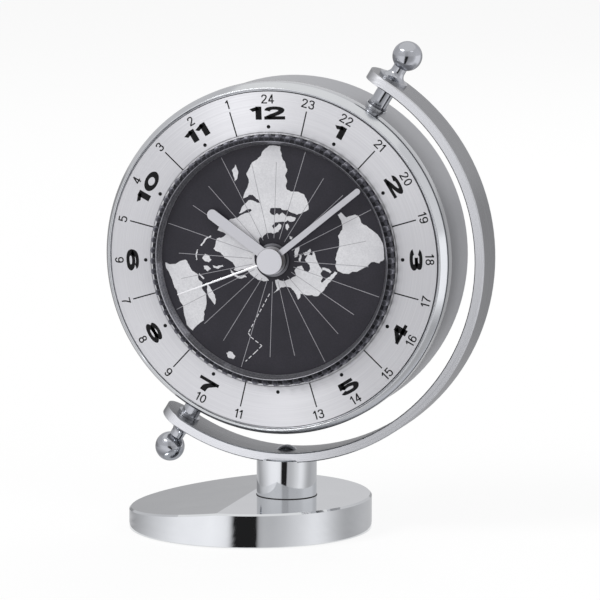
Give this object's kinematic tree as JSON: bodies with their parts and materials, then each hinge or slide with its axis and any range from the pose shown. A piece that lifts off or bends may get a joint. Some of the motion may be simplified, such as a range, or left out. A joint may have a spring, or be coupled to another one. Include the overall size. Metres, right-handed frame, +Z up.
{
  "type": "world time clock",
  "caption": "Desk world time clock: a round drum head with dial, hands and turning world map disc, pivoted in a tilted C-shaped arm on a round base.",
  "frame": {"origin": "centre of the underside of the pad under the base, on the table", "axes": "+Z up, -Y the way the dial faces, +X to the viewer's right, towards the post and the bow of the arm"},
  "size_m": [0.1239, 0.079, 0.16],
  "materials": {
    "chrome": "polished",
    "satin_steel": "brushed",
    "dial_silver": "circular brushed, satin",
    "map_black": "satin print",
    "coin_edge": "gloss over a milled edge",
    "hand_silver": "satin",
    "pad_felt": "felt",
    "screw_steel": "polished",
    "pivot_bronze": "turned",
    "black_plastic": "moulded",
    "white_plastic": "moulded",
    "gear_plastic": "moulded",
    "cover_silver": "spun satin",
    "brass": "turned",
    "circuit_green": "lacquered",
    "copper_wire": "enamelled wire",
    "soft_iron": "rolled",
    "contact_nickel": "plated",
    "cell_wrap": "printed sleeve",
    "magnet": "sintered"
  },
  "bodies": {
    "stand": {"base": "chrome", "base_pad": "pad_felt", "base_screw": "screw_steel", "post": "chrome", "arm": "satin_steel", "arm_screw": "screw_steel", "upper_finial": "chrome", "upper_pivot_pin": "screw_steel", "upper_sleeve": "chrome", "upper_friction_washer": "pivot_bronze", "upper_retaining_clip": "screw_steel", "lower_finial": "chrome", "lower_pivot_pin": "screw_steel", "lower_sleeve": "chrome", "lower_friction_washer": "pivot_bronze", "lower_retaining_clip": "screw_steel"},
    "head": {"upper_bush": "pivot_bronze", "lower_bush": "pivot_bronze", "case": "satin_steel", "front_rim": "chrome", "back_cover": "cover_silver", "cover_screws": "screw_steel", "dial_ring": "dial_silver", "dial_carrier": "black_plastic", "nut": "brass", "nut_washer": "black_plastic", "disc_collar": "hand_silver", "movement_front": "black_plastic", "movement_back": "black_plastic", "middle_plate": "white_plastic", "stator": "soft_iron", "coil_core": "soft_iron", "coil": "copper_wire", "circuit_board": "circuit_green", "quartz_crystal": "contact_nickel", "chip": "black_plastic", "battery": "cell_wrap", "positive_contact": "contact_nickel", "negative_contact": "contact_nickel"},
    "minute_works": {"cannon_pinion": "brass", "minute_hand": "hand_silver"},
    "hour_works": {"hour_wheel": "gear_plastic", "hour_hand": "hand_silver"},
    "minute_wheel_arbor": {"minute_wheel": "gear_plastic", "world_pinion": "brass"},
    "world_works": {"world_disc": "map_black", "coin_ring": "coin_edge"},
    "setting_works": {"setting_pinion": "gear_plastic", "setting_knob": "black_plastic"},
    "second_works": {"second_wheel": "gear_plastic", "second_hand": "hand_silver", "hub_cap": "hand_silver"},
    "third_works": {"third_wheel": "gear_plastic"},
    "centre_works": {"centre_wheel": "gear_plastic"},
    "fifth_works": {"fifth_wheel": "gear_plastic"},
    "rotor_works": {"rotor": "magnet"}
  },
  "joints": [
    {"name": "head_turn", "type": "hinge", "parent": "stand", "child": "head", "pos_m": [0.0122, 0, 0.0902], "axis": [0.521, 0, 0.8536], "continuous": true},
    {"name": "minute_turn", "type": "hinge", "parent": "head", "child": "minute_works", "pos_m": [0.0122, -0.0164, 0.0902], "axis": [0, 1, 0], "continuous": true},
    {"name": "hour_turn", "type": "hinge", "parent": "head", "child": "hour_works", "pos_m": [0.0122, -0.0164, 0.0902], "axis": [0, 1, 0], "continuous": true},
    {"name": "minute_wheel_turn", "type": "hinge", "parent": "head", "child": "minute_wheel_arbor", "pos_m": [0.003, -0.0164, 0.09505], "axis": [0, 1, 0], "continuous": true},
    {"name": "world_turn", "type": "hinge", "parent": "head", "child": "world_works", "pos_m": [0.0122, -0.0164, 0.0902], "axis": [0, 1, 0], "continuous": true},
    {"name": "setting_turn", "type": "hinge", "parent": "head", "child": "setting_works", "pos_m": [-0.00254, -0.0164, 0.10385], "axis": [0, 1, 0], "continuous": true},
    {"name": "second_turn", "type": "hinge", "parent": "head", "child": "second_works", "pos_m": [0.0122, -0.0164, 0.0902], "axis": [0, 1, 0], "continuous": true},
    {"name": "third_turn", "type": "hinge", "parent": "head", "child": "third_works", "pos_m": [0.01696, -0.0164, 0.09922], "axis": [0, 1, 0], "continuous": true},
    {"name": "centre_turn", "type": "hinge", "parent": "head", "child": "centre_works", "pos_m": [0.0122, -0.0164, 0.0902], "axis": [0, 1, 0], "continuous": true},
    {"name": "fifth_turn", "type": "hinge", "parent": "head", "child": "fifth_works", "pos_m": [0.0202, -0.0164, 0.08763], "axis": [0, 1, 0], "continuous": true},
    {"name": "rotor_turn", "type": "hinge", "parent": "head", "child": "rotor_works", "pos_m": [0.02603, -0.0164, 0.09001], "axis": [0, 1, 0], "continuous": true}
  ],
  "couplings": [
    {"joint": "minute_wheel_turn", "follows": "minute_turn", "ratio": -0.33333},
    {"joint": "hour_turn", "follows": "minute_turn", "ratio": 0.083333},
    {"joint": "world_turn", "follows": "minute_turn", "ratio": -0.041667},
    {"joint": "setting_turn", "follows": "minute_turn", "ratio": 1},
    {"joint": "third_turn", "follows": "second_turn", "ratio": -0.13333},
    {"joint": "centre_turn", "follows": "second_turn", "ratio": 0.016667},
    {"joint": "fifth_turn", "follows": "second_turn", "ratio": -6},
    {"joint": "rotor_turn", "follows": "second_turn", "ratio": 30}
  ]
}
